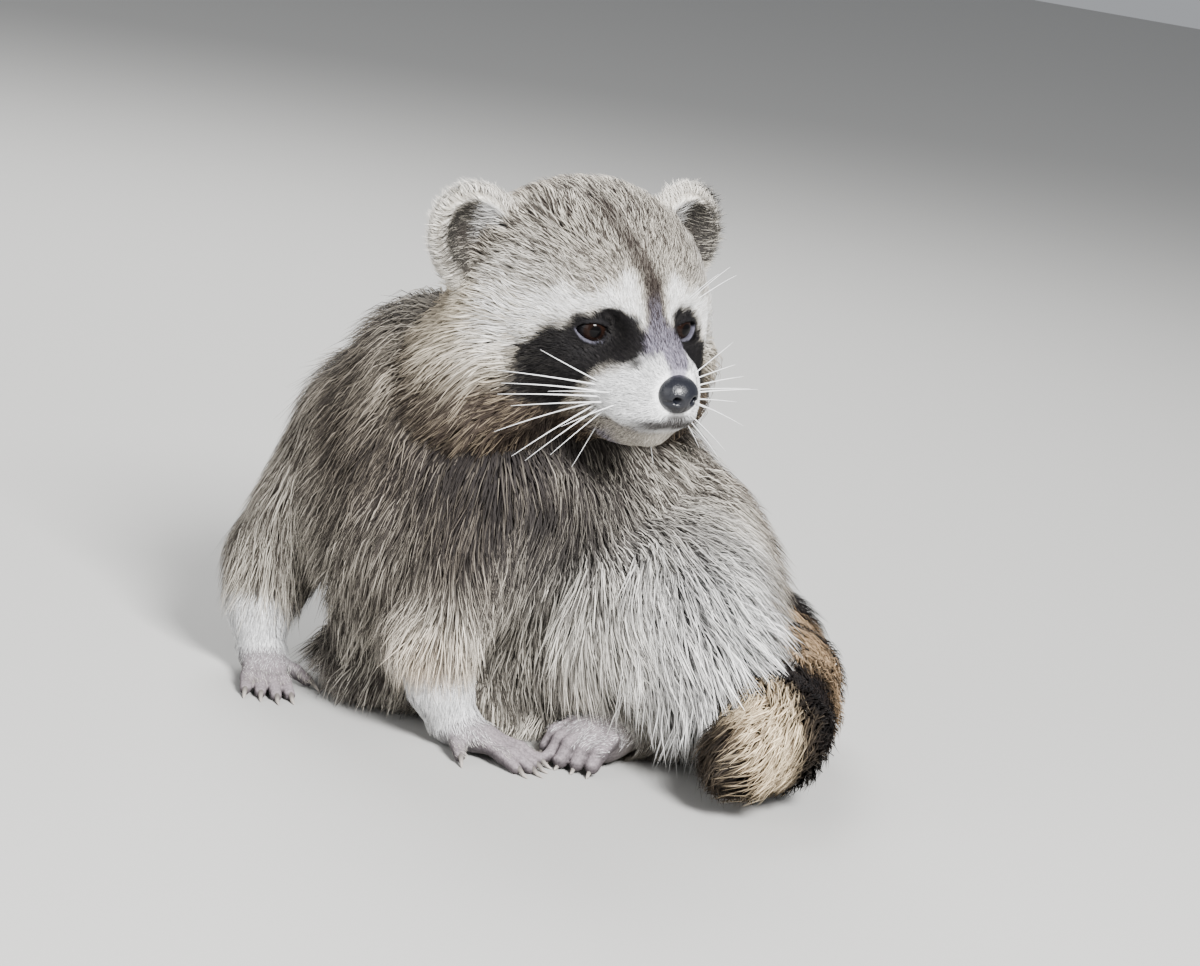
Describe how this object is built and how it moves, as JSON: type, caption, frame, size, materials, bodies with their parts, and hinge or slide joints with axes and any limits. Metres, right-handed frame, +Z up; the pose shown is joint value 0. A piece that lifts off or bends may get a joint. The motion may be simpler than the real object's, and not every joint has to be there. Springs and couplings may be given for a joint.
{
  "type": "raccoon",
  "caption": "Sitting raccoon at life size, a still model with its full coat, head turned back over its left side and bushy ringed tail curled round its hindquarters.",
  "frame": {"origin": "on the floor, under the middle of the animal's bounding box", "axes": "+Z up from the floor; the animal sits side-on to -Y, its chest turned towards -X and -Y, its rump towards +X and +Y and its nose towards +X and -Y"},
  "size_m": [0.2948, 0.2572, 0.2579],
  "materials": {
    "coat": "dense grizzled fur, matt, dark at the root and pale at the tip",
    "paw": "thin short grey-brown fur over bare skin, satin",
    "eye": "wet dark brown eye, high gloss",
    "nose": "moist black nose leather with a fine grain",
    "claw": "pale horn claws, semi-gloss",
    "whisker": "stiff white whiskers, satin"
  },
  "bodies": {
    "root": {"eye_left": "eye", "eye_right": "eye", "nose": "nose", "ear_left": "coat", "ear_right": "coat", "face": "coat", "head": "coat", "neck": "coat", "trunk": "coat", "foreleg_left": "coat", "foreleg_right": "coat", "forepaw_left": "paw", "forepaw_right": "paw", "haunch_left": "coat", "haunch_right": "coat", "hindfoot_left": "paw", "hindfoot_right": "paw", "tail_base": "coat", "tail_middle": "coat", "tail_tip": "coat"}
  },
  "joints": []
}
